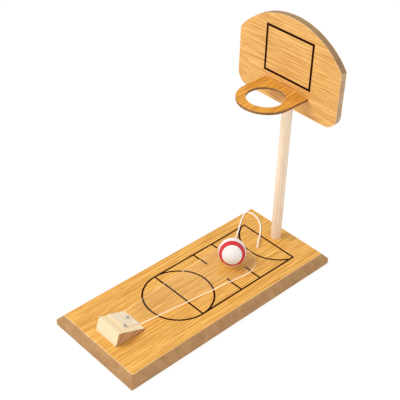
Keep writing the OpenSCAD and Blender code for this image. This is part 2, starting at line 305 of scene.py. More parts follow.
@cache
def wood_grain() -> bpy.types.NodeTree:
    """Gives the group of bands, streaks, flecks, lines and pores that every wood shares.

    Returns:
        The group, built once, for coordinates with the fibres along Y.
    """
    layers = ("Band", "Streak", "Fleck", "Line", "Pore")
    tree = effect_group(
        "wood_grain",
        {
            **{"Vector": "Vector", "Pale": "Color", "Mid": "Color", "Dark": "Color"},
            **{f"{layer} Scale": "Vector" for layer in layers},
            **{f"{layer} Share": "Float" for layer in layers},
        },
        {"Color": "Color", "Height": "Float"},
    )
    desk = NodeDesk(tree)
    given = desk.add("NodeGroupInput").outputs
    banded = desk.vectors("MULTIPLY", given["Vector"], given["Band Scale"])
    swayed = desk.add("ShaderNodeTexNoise", {"Vector": banded, "Scale": BAND_PUSH_SCALE}).outputs[1]
    bent = desk.vectors("ADD", given["Vector"], desk.vectors("MULTIPLY", swayed, BAND_PUSH))
    seen = {
        "Band": desk.span(desk.noise(banded, detail=1.0), *LAYER_RANGE["Band"]),
        "Line": broken_lines(desk, desk.vectors("MULTIPLY", bent, given["Line Scale"])),
    }
    for layer, detail in LAYER_DETAIL.items():
        seen[layer] = desk.span(grown(desk, bent, given[f"{layer} Scale"], detail), *LAYER_RANGE[layer])
    colour = given["Pale"]
    for layer in layers:
        share = desk.maths("MULTIPLY", seen[layer], given[f"{layer} Share"])
        colour = desk.mixed(share, colour, given["Mid" if layer in ("Band", "Streak") else "Dark"])
    pores = desk.maths("MULTIPLY", seen["Pore"], PORE_DEPTH)
    hollow = desk.maths("MULTIPLY_ADD", seen["Line"], LINE_DEPTH, pores)
    desk.add("NodeGroupOutput", {"Color": colour, "Height": desk.maths("SUBTRACT", 1.0, hollow)})
    return tree


@cache
def handling() -> bpy.types.NodeTree:
    """Gives the group of faint smudges that makes a surface's gloss uneven.

    Returns:
        The group, built once.
    """
    tree = effect_group(
        "handling",
        {"Vector": "Vector", "Smudge Size": "Float", "Least": "Float", "Most": "Float"},
        {"Roughness": "Float"},
    )
    desk = NodeDesk(tree)
    given = desk.add("NodeGroupInput").outputs
    scale = desk.maths("DIVIDE", 1.0, given["Smudge Size"])
    smudge = desk.span(desk.noise(given["Vector"], scale, detail=4.0, roughness=0.6), *NOISE_RANGE)
    room = desk.maths("SUBTRACT", given["Most"], given["Least"])
    desk.add("NodeGroupOutput", {"Roughness": desk.maths("MULTIPLY_ADD", smudge, room, given["Least"])})
    return tree


class MaterialDesk(NodeDesk):
    """A new material with its Principled shader and its pattern coordinates."""

    def __init__(self, name: str) -> None:
        """Starts the material.

        Args:
            name: Name of the material.
        """
        self.material = bpy.data.materials.new(name)
        self.material.use_nodes = True
        super().__init__(self.material.node_tree)
        self.shader = self.tree.nodes["Principled BSDF"]
        self.place = self.add("ShaderNodeTexCoord").outputs["Object"]

    def put(self, **values: Any) -> None:
        """Sets or links the shader's inputs, named with underscores for spaces."""
        for name, value in values.items():
            self.feed(self.shader.inputs[name.replace("_", " ")], value)

    def group(self, tree: bpy.types.NodeTree, **values: Any) -> Any:
        """Places a shared effect.

        Args:
            tree: The effect's node group.
            **values: The group's inputs, named with underscores for spaces.

        Returns:
            The placed group's outputs.
        """
        wires = {name.replace("_", " "): value for name, value in values.items()}
        return self.add("ShaderNodeGroup", wires, node_tree=tree).outputs

    def uneven_gloss(self, size: float, least: float, most: float) -> None:
        """Gives the shader a roughness that smudges vary between two values."""
        smudged = self.group(handling(), Vector=self.place, Smudge_Size=size, Least=least, Most=most)
        self.put(Roughness=smudged["Roughness"])

    def relief(self, height: Any, depth: float) -> None:
        """Gives the shader a bump of a real depth."""
        wires = {"Height": height, "Distance": depth, "Strength": 1.0}
        self.put(Normal=self.add("ShaderNodeBump", wires).outputs["Normal"])


# Finishes

@dataclass(frozen=True)
class Finish:
    """Look of a surface, with the name of its material."""

    name: str

    def material(self) -> bpy.types.Material:
        """Gives the material, built the first time that it is asked for.

        Returns:
            The material.
        """
        found = bpy.data.materials.get(self.name)
        if found:
            return found
        desk = MaterialDesk(self.name)
        self.coat(desk)
        return desk.material

    def coat(self, desk: MaterialDesk) -> None:
        """Wires the look into a new material."""
        raise NotImplementedError


@dataclass(frozen=True)
class Wood(Finish):
    """Wood with broad bands, streaks, flecks, crisp lines and pores along its fibres.

    The pale, mid and dark colours mix over the surface. Each layer of the pattern has a width across
    the fibres, a length along them and a share in the mix. Along the growth rings it is wider by a
    given ratio.
    """

    pale: Colour
    mid: Colour
    dark: Colour
    grain: Grain
    shift: tuple[float, float, float] = (0.0, 0.0, 0.0)
    band: tuple[float, float, float] = (0.030, 0.40, 0.22)
    streak: tuple[float, float, float] = (0.006, 0.11, 0.55)
    fleck: tuple[float, float, float] = (0.0014, 0.05, 0.55)
    line: tuple[float, float, float] = (0.0042, 0.12, 0.75)
    pore: tuple[float, float, float] = (0.0009, 0.02, 0.40)
    ring_width: float = 1.0
    smudge: float = 0.03
    gloss: tuple[float, float] = (0.38, 0.52)
    depth: float = 0.00008

    def coat(self, desk: MaterialDesk) -> None:
        """Wires the look.

        Args:
            desk: Desk of the new material.
        """
        turned = {"Vector": desk.place, "Location": self.shift, "Rotation": self.grain.value}
        place = desk.add("ShaderNodeMapping", turned).outputs["Vector"]
        layers = {
            "Band": self.band,
            "Streak": self.streak,
            "Fleck": self.fleck,
            "Line": self.line,
            "Pore": self.pore,
        }
        figure = desk.group(
            wood_grain(),
            Vector=place,
            Pale=self.pale,
            Mid=self.mid,
            Dark=self.dark,
            **{f"{layer}_Scale": self.scale(*size[:2]) for layer, size in layers.items()},
            **{f"{layer}_Share": size[2] for layer, size in layers.items()},
        )
        desk.put(Base_Color=figure["Color"], Specular_IOR_Level=0.3)
        desk.uneven_gloss(self.smudge, *self.gloss)
        desk.relief(figure["Height"], self.depth)

    def scale(self, width: float, length: float) -> tuple[float, float, float]:
        """Turns a layer's width and length into its scale."""
        return (1 / width, 1 / length, 1 / (width * self.ring_width))


@dataclass(frozen=True)
class PressedFibre(Finish):
    """Bare pressed fibre board with fine specks and soft clouds."""

    pale: Colour
    dark: Colour
    speck: float = 0.0006
    cloud: float = 0.012
    speck_share: float = 0.55
    mottle: tuple[float, float] = (0.36, 0.64)
    gloss: tuple[float, float, float] = (0.02, 0.62, 0.78)
    depth: float = 0.00012

    def coat(self, desk: MaterialDesk) -> None:
        """Wires the look.

        Args:
            desk: Desk of the new material.
        """
        specks = desk.noise(desk.place, 1 / self.speck, detail=3.0, roughness=0.7)
        clouds = desk.noise(desk.place, 1 / self.cloud, detail=3.0, roughness=0.6)
        clouded = desk.maths("MULTIPLY", clouds, 1 - self.speck_share)
        mottle = desk.maths("MULTIPLY_ADD", specks, self.speck_share, clouded)
        tone = desk.mixed(desk.span(mottle, *self.mottle), self.pale, self.dark)
        desk.put(Base_Color=tone, Specular_IOR_Level=0.3)
        desk.uneven_gloss(*self.gloss)
        desk.relief(specks, self.depth)


@dataclass(frozen=True)
class PrintedInk(Finish):
    """Matte printed line, a little thin in places so that the wood shows through as brown."""

    full: Colour
    thin: Colour
    speck_scale: float = 2600.0
    worn: tuple[float, float] = (0.5, 0.8)
    gloss: tuple[float, float, float] = (0.01, 0.6, 0.8)

    def coat(self, desk: MaterialDesk) -> None:
        """Wires the look.

        Args:
            desk: Desk of the new material.
        """
        specks = desk.noise(desk.place, self.speck_scale, detail=3.0, roughness=0.7)
        worn = desk.span(specks, *self.worn)
        desk.put(Base_Color=desk.mixed(worn, self.full, self.thin), Specular_IOR_Level=0.04)
        desk.uneven_gloss(*self.gloss)


@dataclass(frozen=True)
class ClearSheet(Finish):
    """Clear polished plastic sheet with faint smudges."""

    tint: Colour
    shine: float
    bend: float = 1.49
    gloss: tuple[float, float, float] = (0.02, 0.02, 0.08)

    def coat(self, desk: MaterialDesk) -> None:
        """Wires the look, which lets light straight through to what lies below the sheet.

        Args:
            desk: Desk of the new material.
        """
        desk.put(Base_Color=self.tint, Transmission_Weight=1.0, IOR=self.bend)
        desk.put(Specular_Tint=(self.shine, self.shine, self.shine, 1.0))
        desk.uneven_gloss(*self.gloss)
        clear = desk.add("ShaderNodeBsdfTransparent", {"Color": self.tint}).outputs[0]
        rays = desk.add("ShaderNodeLightPath").outputs
        lighting = desk.maths("GREATER_THAN", rays["Diffuse Depth"], LIGHTING_DEPTH)
        lighting = desk.maths("MAXIMUM", lighting, rays["Is Shadow Ray"])
        desk.show("Material Output", desk.blended(lighting, desk.shader.outputs[0], clear))


@dataclass(frozen=True)
class CutEdge(Finish):
    """Sawn edge of a clear sheet, bright from outside with the light that the sheet leads to it."""

    white: Colour
    glow: float
    seen_from_inside: float
    worn: Colour = paint(214, 210, 204)
    saw_scale: float = 2600.0
    saw_share: float = 0.25
    gloss: tuple[float, float, float] = (0.004, 0.28, 0.45)

    def coat(self, desk: MaterialDesk) -> None:
        """Wires the look, which is clearer when the edge is seen from inside the sheet.

        Args:
            desk: Desk of the new material.
        """
        sawn = desk.span(desk.noise(desk.place, self.saw_scale), *NOISE_RANGE, 0.0, self.saw_share)
        desk.put(Base_Color=desk.mixed(sawn, self.white, self.worn), Specular_IOR_Level=0.4)
        # Painted light: the edge glows, in place of the light that the sheet leads to it
        desk.put(Emission_Color=self.white, Emission_Strength=self.glow)
        desk.uneven_gloss(*self.gloss)
        shadow = desk.add("ShaderNodeLightPath").outputs["Is Shadow Ray"]
        inside = desk.add("ShaderNodeNewGeometry").outputs["Backfacing"]
        share = desk.maths("MAXIMUM", shadow, desk.maths("MULTIPLY", inside, self.seen_from_inside))
        clear = desk.add("ShaderNodeBsdfTransparent").outputs[0]
        desk.show("Material Output", desk.blended(share, desk.shader.outputs[0], clear))


@dataclass(frozen=True)
class RingedBall(Finish):
    """Satin white ball with one printed ring round a given axis."""

    white: Colour
    ring: Colour
    centre: tuple[float, float, float]
    axis: tuple[float, float, float]
    inner: float
    outer: float
    dust: Colour = paint(232, 226, 218)
    dust_scale: float = 90.0
    dust_share: float = 0.35
    soft: float = 0.008
    ragged: float = 0.012
    ragged_scale: float = 2500.0
    skin_scale: float = 1400.0
    gloss: tuple[float, float, float] = (0.012, 0.26, 0.40)
    depth: float = 0.00002

    def coat(self, desk: MaterialDesk) -> None:
        """Wires the look.

        Args:
            desk: Desk of the new material.
        """
        spoke = desk.vectors("SUBTRACT", desk.place, self.centre)
        reach = desk.add("ShaderNodeVectorMath", {0: spoke}, operation="NORMALIZE").outputs[0]
        wires = {0: reach, 1: Vector(self.axis).normalized()}
        along = desk.add("ShaderNodeVectorMath", wires, operation="DOT_PRODUCT").outputs["Value"]
        along = desk.maths("MULTIPLY_ADD", desk.noise(desk.place, self.ragged_scale), self.ragged, along)
        rims = (math.cos(self.outer), math.cos(self.inner))
        ring = desk.maths("SUBTRACT", *(desk.span(along, rim, rim + self.soft) for rim in rims))
        cloud = desk.noise(desk.place, self.dust_scale, detail=3.0)
        dusty = desk.mixed(desk.span(cloud, *NOISE_RANGE, 0.0, self.dust_share), self.white, self.dust)
        desk.put(Base_Color=desk.mixed(ring, dusty, self.ring), Specular_IOR_Level=0.45)
        desk.uneven_gloss(*self.gloss)
        desk.relief(desk.noise(desk.place, self.skin_scale), self.depth)


@dataclass(frozen=True)
class BraidedCord(Finish):
    """Braided fabric cord whose strands cross along its own map."""

    pale: Colour
    shade: Colour
    strands: float = 4.0
    pitch: float = 0.0016
    crown: tuple[float, float] = (-0.6, 1.0)
    fuzz: tuple[float, float, float, float] = (0.2, 0.6, 0.6, 1.0)
    fuzz_scale: float = 6000.0
    # Strength of a painted glow that brightens the cord's shaded side
    glow: float = 0.10
    bleed: float = 0.0008
    gloss: tuple[float, float, float] = (0.01, 0.75, 0.9)
    depth: float = 0.00008

    def coat(self, desk: MaterialDesk) -> None:
        """Wires the look.

        Args:
            desk: Desk of the new material.
        """
        mapped = desk.add("ShaderNodeUVMap", uv_map="braid").outputs[0]
        parts = desk.add("ShaderNodeSeparateXYZ", {0: mapped}).outputs
        turn = desk.maths("MULTIPLY", parts[0], self.strands * math.tau)
        run = desk.maths("MULTIPLY", parts[1], math.tau / self.pitch)
        left = desk.maths("SINE", desk.maths("ADD", turn, run))
        right = desk.maths("SINE", desk.maths("SUBTRACT", turn, run))
        crown = desk.span(desk.maths("MAXIMUM", left, right), *self.crown)
        fuzz = desk.span(desk.noise(desk.place, self.fuzz_scale), *self.fuzz)
        tone = desk.maths("MULTIPLY", crown, fuzz)
        desk.put(Base_Color=desk.mixed(tone, self.shade, self.pale), Specular_IOR_Level=0.2)
        desk.put(Subsurface_Weight=0.5, Subsurface_Radius=(1.0, 1.0, 1.0), Subsurface_Scale=self.bleed)
        # Painted light: a faint glow brightens the cord's shaded side
        desk.put(Emission_Color=self.pale, Emission_Strength=self.glow)
        desk.uneven_gloss(*self.gloss)
        desk.relief(tone, self.depth)


@dataclass(frozen=True)
class PlatedSteel(Finish):
    """Plated steel with fine drawing marks, and grime in the recesses of screws that share an axis."""

    bright: Colour
    dull: Colour
    # Colour of the painted shade in the screws' recesses
    recess_shade: Colour = paint(48, 42, 40)
    cores: tuple[Vector, ...] = ()
    axis: tuple[float, float, float] = (0.0, 0.0, 1.0)
    recess: tuple[float, float] = (0.0009, 0.0014)
    dulled: tuple[float, float] = (0.35, 0.7)
    dull_scale: float = 700.0
    drawn_scale: float = 3000.0
    gloss: tuple[float, float, float] = (0.002, 0.22, 0.42)
    depth: float = 0.00002

    def coat(self, desk: MaterialDesk) -> None:
        """Wires the look.

        Args:
            desk: Desk of the new material.
        """
        dulled = desk.noise(desk.place, self.dull_scale, detail=4.0, roughness=0.65)
        colour = desk.mixed(desk.span(dulled, *self.dulled), self.bright, self.dull)
        for core in self.cores:
            spoke = desk.vectors("CROSS_PRODUCT", desk.vectors("SUBTRACT", desk.place, core), self.axis)
            apart = desk.add("ShaderNodeVectorMath", {0: spoke}, operation="LENGTH").outputs["Value"]
            # Painted shade: each screw's recess is darkened round its axis
            colour = desk.mixed(desk.span(apart, *self.recess, 1.0, 0.0), colour, self.recess_shade)
        desk.put(Base_Color=colour, Metallic=1.0)
        desk.uneven_gloss(*self.gloss)
        desk.relief(desk.noise(desk.place, self.drawn_scale), self.depth)


# Mesh building

@dataclass(frozen=True)
class Round:
    """A circle on a plane."""

    x: float
    y: float
    radius: float

    def at(self, turn: float) -> Vector:
        """Gives the point at a turn, on the plane z = 0."""
        return Vector((self.x + self.radius * math.cos(turn), self.y + self.radius * math.sin(turn), 0))

    def arc(self, start: float, end: float, steps: int) -> list[Vector]:
        """Gives points along the circle.

        Args:
            start: Turn of the first point.
            end: Turn of the last point.
            steps: Number of chords between them.

        Returns:
            The points in order.
        """
        return [self.at(start + (end - start) * step / steps) for step in range(steps + 1)]


class Workpiece:
    """One mesh on the bench, shaped with bmesh operators and then put into the scene."""

    def __init__(self) -> None:
        """Starts with nothing on the bench."""
        self.mesh = bmesh.new()

    @classmethod
    def block(cls, low: Vector, high: Vector) -> "Workpiece":
        """Makes a squared block between two corners.

        Args:
            low: The corner with the least coordinates.
            high: The corner with the greatest.

        Returns:
            The block.
        """
        piece = cls()
        size = Matrix.Diagonal((*(high - low), 1.0))
        bmesh.ops.create_cube(piece.mesh, size=1.0, matrix=Matrix.Translation((low + high) / 2) @ size)
        return piece

    @classmethod
    def rod(cls, hole: Round, low: float, high: float, top_radius: float | None = None) -> "Workpiece":
        """Makes an upright rod, or a cone where its top has a radius of its own.

        Args:
            hole: Circle of its foot.
            low: Height of its foot.
            high: Height of its top.
            top_radius: Radius of a cone's top.

        Returns:
            The rod.
        """
        piece = cls()
        bmesh.ops.create_cone(
            piece.mesh,
            cap_ends=True,
            segments=ROUND_STEPS,
            radius1=hole.radius,
            radius2=hole.radius if top_radius is None else top_radius,
            depth=high - low,
            matrix=Matrix.Translation((hole.x, hole.y, (low + high) / 2)),
        )
        return piece

    @classmethod
    def plate(cls, outline: Sequence[Vector], holes: Iterable[Round], thickness: float,
              cuts: Iterable[float] = ()) -> "Workpiece":
        """Makes a flat plate that stands on the plane z = 0.

        Args:
            outline: Corners of its edge, in order.
            holes: Round holes through it.
            thickness: Its height.
            cuts: Places along Y where it gets a row of vertices, so that it can bend.

        Returns:
            The plate.
        """
        piece = cls()
        mesh = piece.mesh
        corners = [mesh.verts.new(point) for point in outline]
        edges = [mesh.edges.new(pair) for pair in zip(corners, corners[1:] + corners[:1])]
        for hole in holes:
            place = Matrix.Translation((hole.x, hole.y, 0))
            made = bmesh.ops.create_circle(mesh, segments=ROUND_STEPS, radius=hole.radius, matrix=place)
            edges += dict.fromkeys(edge for vert in made["verts"] for edge in vert.link_edges)
        bmesh.ops.triangle_fill(mesh, use_beauty=True, edges=edges)
        bmesh.ops.dissolve_limit(mesh, angle_limit=FLAT_TURN, verts=[], edges=mesh.edges[:])
        for place in cuts:
            everything = mesh.verts[:] + mesh.edges[:] + mesh.faces[:]
            bmesh.ops.bisect_plane(
                mesh, dist=SAME_SPOT, geom=everything, plane_co=(0, place, 0), plane_no=(0, 1, 0)
            )
        made = bmesh.ops.extrude_face_region(mesh, geom=mesh.faces[:])
        raised = [part for part in made["geom"] if isinstance(part, BMVert)]
        bmesh.ops.translate(mesh, verts=raised, vec=(0, 0, thickness))
        return piece.outwards()

    def outwards(self) -> "Workpiece":
        """Points every face outwards."""
        bmesh.ops.recalc_face_normals(self.mesh, faces=self.mesh.faces[:])
        return self

    def soften(self, width: float, segments: int = 2, least: float = RIM_TURN,
               limited: bool = True) -> "Workpiece":
        """Rounds the edges that turn by more than a given angle.

        Args:
            width: Width of the rounding.
            segments: Number of faces across it.
            least: Angle from which an edge is rounded.
            limited: Whether narrow faces may make the rounding less wide.

        Returns:
            The same piece.
        """
        edges = [edge for edge in self.mesh.edges if edge.is_manifold and edge.calc_face_angle() > least]
        bmesh.ops.bevel(
            self.mesh,
            geom=edges,
            offset=width,
            offset_type="OFFSET",
            segments=segments,
            profile=0.5,
            affect="EDGES",
            clamp_overlap=limited,
            loop_slide=limited,
            material=-1,
        )
        return self

    def moved(self, matrix: Matrix) -> "Workpiece":
        """Turns and shifts the whole mesh."""
        bmesh.ops.transform(self.mesh, matrix=matrix, verts=self.mesh.verts[:])
        return self

    def carve(self, *cutters: "Workpiece") -> "Workpiece":
        """Cuts other workpieces out of this one, and clears them from the bench.

        Args:
            *cutters: The workpieces to cut out.

        Returns:
            The same piece.
        """
        target = self.on_bench("carved")
        tools = [cutter.on_bench("cutter") for cutter in cutters]
        for tool in tools:
            cut = target.modifiers.new("cut", "BOOLEAN")
            cut.operation = "DIFFERENCE"
            cut.solver = "EXACT"
            cut.object = tool
        shaped = target.evaluated_get(bpy.context.evaluated_depsgraph_get())
        result = bpy.data.meshes.new_from_object(shaped)
        self.mesh = bmesh.new()
        self.mesh.from_mesh(result)
        bpy.data.meshes.remove(result)
        for used in [target, *tools]:
            mesh = used.data
            bpy.data.objects.remove(used)
            bpy.data.meshes.remove(mesh)
        return self

    def on_bench(self, name: str) -> bpy.types.Object:
        """Puts the mesh into a new object of the scene and lets go of it.

        Args:
            name: Name of the object.

        Returns:
            The object.
        """
        mesh = bpy.data.meshes.new(name)
        self.mesh.to_mesh(mesh)
        self.mesh.free()
        made = bpy.data.objects.new(name, mesh)
        bpy.context.scene.collection.objects.link(made)
        return made

    def mark(self, index: int, chosen: Callable[[BMFace], bool]) -> "Workpiece":
        """Gives some faces another material.

        Args:
            index: Number of the material.
            chosen: Test that tells whether a face gets it.

        Returns:
            The same piece.
        """
        self.mesh.normal_update()
        for face in self.mesh.faces:
            if chosen(face):
                face.material_index = index
        return self

    def mark_rim(self, across: Vector, flat: float) -> "Workpiece":
        """Gives a sheet's edge the second material: faces whose normal has less than flat along an axis."""
        return self.mark(1, lambda face: abs(face.normal.dot(across)) < flat)

    def install(self, name: str, slot: Slot, finishes: Sequence[Finish], replaces: Sequence[str],
                body: Body | None = Body.BASE) -> bpy.types.Object:
        """Puts the finished piece into the scene.

        Args:
            name: Name of the piece.
            slot: Record slot that its finish belongs to.
            finishes: Finishes in the order of the faces' material numbers.
            replaces: Packed nodes that it stands for.
            body: Body that it rides on, or None for a piece that blends between bodies.

        Returns:
            The piece's object.
        """
        for face in self.mesh.faces:
            face.smooth = True
        for edge in self.mesh.edges:
            edge.smooth = not edge.is_manifold or edge.calc_face_angle() < SHARP_TURN
        made = self.on_bench(name)
        for finish in finishes:
            made.data.materials.append(finish.material())
        evened = made.modifiers.new("even_shading", "WEIGHTED_NORMAL")
        evened.keep_sharp = True
        if body:
            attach(made, body.value)
        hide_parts(*replaces)
        LOG.info("%s: %d faces, for %s", name, len(made.data.polygons), ", ".join(replaces))
        return made


def dress_node(node: str, finish: Finish) -> None:
    """Gives a packed node that stays in view its finish.

    Args:
        node: Name of the node.
        finish: Its finish.
    """
    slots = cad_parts[node].data.materials
    slots.clear()
    slots.append(finish.material())
    LOG.info("%s: kept as packed, in %s", node, finish.name)


# Finishes of this game

COURT_OAK = Wood(
    "court_oak", paint(255, 201, 110), paint(248, 180, 76), paint(192, 120, 14), Grain.ALONG_Y,
    streak=(0.003, 0.18, 0.35),
)
PANEL_OAK = Wood(
    "panel_oak", paint(250, 198, 119), paint(240, 176, 88), paint(182, 114, 26), Grain.ALONG_X_LEVEL,
    shift=(0.31, 0.17, 0.53), streak=(0.003, 0.14, 0.3), fleck=(0.0014, 0.05, 0.5),
    line=(0.0035, 0.10, 0.6),
)
HOOP_OAK = Wood(
    "hoop_oak", paint(252, 188, 86), paint(228, 158, 52), paint(162, 92, 8), Grain.ALONG_Y,
    shift=(0.11, 0.47, 0.23), band=(0.030, 0.40, 0.35), streak=(0.006, 0.07, 0.4),
    fleck=(0.0013, 0.028, 0.6), line=(0.0035, 0.030, 0.5),
)
VENEER_EDGE = Wood(
    "veneer_edge", paint(255, 230, 186), paint(250, 216, 164), paint(222, 176, 120), Grain.ALONG_Y,
    gloss=(0.55, 0.7),
)
PALE_DOWEL = Wood(
    "pale_dowel", paint(255, 236, 211), paint(246, 218, 186), paint(216, 178, 140), Grain.ALONG_Z,
    streak=(0.0035, 0.16, 0.6), fleck=(0.0020, 0.03, 0.1), line=(0.0028, 0.06, 0.3),
    pore=(0.0006, 0.012, 0.15), gloss=(0.5, 0.66),
)
PINE_FACE = Wood(
    "pine_face", paint(255, 238, 202), paint(247, 222, 174), paint(226, 186, 128), Grain.ALONG_X_RISING,
    band=(0.012, 0.3, 0.3), streak=(0.005, 0.30, 0.6), fleck=(0.0020, 0.04, 0.08),
    line=(0.0048, 0.2, 0.35), pore=(0.0008, 0.02, 0.12), ring_width=5.0, gloss=(0.55, 0.7),
)
PINE_END = Wood(
    "pine_end", paint(232, 188, 142), paint(196, 142, 94), paint(140, 86, 50), Grain.ALONG_X_RISING,
    band=(0.012, 0.3, 0.2), streak=(0.005, 0.30, 0.8), fleck=(0.0020, 0.04, 0.1),
    line=(0.0056, 0.3, 0.8), pore=(0.0005, 0.01, 0.3), ring_width=5.0, gloss=(0.65, 0.8),
)
BARE_MDF = PressedFibre("bare_mdf", paint(196, 151, 104), paint(169, 126, 82))
PANEL_MDF = PressedFibre("panel_mdf", paint(210, 178, 142), paint(184, 150, 114))
# Darker copy of the panel's fibre: painted shade on the arch's upward-facing edge
SHADED_ARCH_MDF = PressedFibre("shaded_arch_mdf", paint(182, 148, 112), paint(154, 121, 87))
SCORCHED_EDGE = PressedFibre("scorched_edge", paint(152, 112, 74), paint(116, 82, 52))
COURT_INK = PrintedInk("court_ink", paint(42, 11, 4), paint(60, 22, 10))
CLEAR_PLASTIC = ClearSheet("clear_plastic", paint(253, 253, 252), shine=0.1)
CLEAR_TAIL = ClearSheet("clear_tail", paint(253, 253, 252), shine=0.9)
# The sheet's edges glow with painted light: strongly on the blade, faintly on the tail
CLEAR_EDGE = CutEdge("clear_edge", paint(255, 236, 216), glow=0.48, seen_from_inside=0.45)
FAINT_EDGE = CutEdge("faint_edge", paint(244, 224, 198), glow=0.05, seen_from_inside=0.6)
WHITE_CORD = BraidedCord("white_cord", paint(255, 250, 238), paint(250, 240, 220))
STEEL = PlatedSteel("plated_steel", paint(205, 206, 210), paint(140, 140, 146))


# Stage

@dataclass(frozen=True)
class Lamp:
    """Square soft lamp: where it stands, the length of its side and its power in watts."""

    name: str
    place: tuple[float, float, float]
    side: float
    power: float


@dataclass
class Studio:
    """Camera at the photograph's angle, soft lamps, pale floor and white surroundings."""

    frame_pixels: float = 400.0
    focal_pixels: float = 946.1
    sensor: float = 36.0
    position: tuple[float, float, float] = (0.7090, -0.6841, 0.8944)
    azimuth: float = math.radians(46.09)
    elevation: float = math.radians(36.65)
    roll: float = math.radians(1.68)
    lamps: tuple[Lamp, ...] = (
        Lamp("key_lamp", (-0.75, -0.88, 1.48), 0.9, 19.0),
        Lamp("side_lamp", (1.5, -0.5, 0.9), 1.0, 5.0),
    )
    sky: float = 0.56
    floor_size: float = 6.0
    floor_glow: float = 0.86
    floor_light: float = 1.04
    floor_touch: float = 0.002

    def build(self) -> None:
        """Builds everything round the object."""
        bpy.context.scene.view_settings.view_transform = "Standard"
        self.add_camera()
        for lamp in self.lamps:
            self.add_lamp(lamp)
        self.add_floor()
        self.light_sky()

    def add_camera(self) -> None:
        """Sets the camera at its place, turn and roll."""
        az, el = self.azimuth, self.elevation
        back = Vector((math.sin(az) * math.cos(el), -math.cos(az) * math.cos(el), math.sin(el)))
        right = Vector((math.cos(az), math.sin(az), 0))
        up = back.cross(right)
        c, s = math.cos(self.roll), math.sin(self.roll)
        turned = Matrix((c * right + s * up, c * up - s * right, back)).transposed()
        data = bpy.data.cameras.new("camera")
        data.sensor_width = self.sensor
        data.lens = self.focal_pixels / self.frame_pixels * self.sensor
        camera = bpy.data.objects.new("camera", data)
        camera.matrix_world = Matrix.Translation(self.position) @ turned.to_4x4()
        bpy.context.scene.collection.objects.link(camera)
        bpy.context.scene.camera = camera

    @staticmethod
    def add_lamp(lamp: Lamp) -> None:
        """Adds a lamp that faces the middle of the object and shows in no reflection.

        Args:
            lamp: The lamp.
        """
        data = bpy.data.lights.new(lamp.name, "AREA")
        data.size = lamp.side
        data.energy = lamp.power
        made = bpy.data.objects.new(lamp.name, data)
        place = Vector(lamp.place)
        aim = (CAD_BOX[0] + CAD_BOX[1]) / 2 - place
        made.matrix_world = Matrix.Translation(place) @ aim.to_track_quat("-Z", "Y").to_matrix().to_4x4()
        made.visible_camera = False
        made.visible_glossy = False
        bpy.context.scene.collection.objects.link(made)

    @staticmethod
    def seen_rays(desk: NodeDesk) -> Socket:
        """Tells rays that see the surroundings from rays that light a surface.

        Args:
            desk: Desk of the tree that asks.

        Returns:
            1 for rays that see the surroundings directly, in a reflection or through clear plastic, and
            0 for rays that light a surface, also where they pass clear plastic on their way.
        """
        rays = desk.add("ShaderNodeLightPath").outputs
        seen = desk.maths("MAXIMUM", rays["Is Camera Ray"], rays["Is Glossy Ray"])
        seen = desk.maths("MAXIMUM", seen, rays["Is Transmission Ray"])
        direct = desk.maths("LESS_THAN", rays["Diffuse Depth"], LIGHTING_DEPTH)
        return desk.maths("MULTIPLY", seen, direct)

    def add_floor(self) -> None:
        """Lays the pale floor, which glows enough to be white and keeps the shadow.

        It is clear from below, and clear to what touches it, so that the underside has light.
        """
        mesh = bmesh.new()
        bmesh.ops.create_grid(mesh, x_segments=1, y_segments=1, size=self.floor_size / 2)
        data = bpy.data.meshes.new("floor")
        mesh.to_mesh(data)
        mesh.free()
        floor = bpy.data.objects.new("floor", data)
        bpy.context.scene.collection.objects.link(floor)
        desk = MaterialDesk("pale_floor")
        desk.put(Base_Color=WHITE, Roughness=1.0, Specular_IOR_Level=0.0)
        glow = desk.add("ShaderNodeEmission", {"Color": WHITE, "Strength": self.floor_light}).outputs[0]
        share = desk.maths("MULTIPLY", self.seen_rays(desk), self.floor_glow)
        white = desk.blended(share, desk.shader.outputs[0], glow)
        below = desk.add("ShaderNodeNewGeometry").outputs["Backfacing"]
        reach = desk.add("ShaderNodeLightPath").outputs["Ray Length"]
        gone = desk.maths("MAXIMUM", below, desk.maths("LESS_THAN", reach, self.floor_touch))
        clear = desk.add("ShaderNodeBsdfTransparent").outputs[0]
        desk.show("Material Output", desk.blended(gone, white, clear))
        data.materials.append(desk.material)

    def light_sky(self) -> None:
        """Lights the object evenly from all round, and shows white where nothing stands."""
        world = bpy.data.worlds.new("surroundings")
        bpy.context.scene.world = world
        world.use_nodes = True
        desk = NodeDesk(world.node_tree)
        lit, seen = (
            desk.add("ShaderNodeBackground", {"Color": WHITE, "Strength": strength}).outputs[0]
            for strength in (self.sky, 1.0)
        )
        desk.show("World Output", desk.blended(self.seen_rays(desk), lit, seen))


# Sub-assemblies

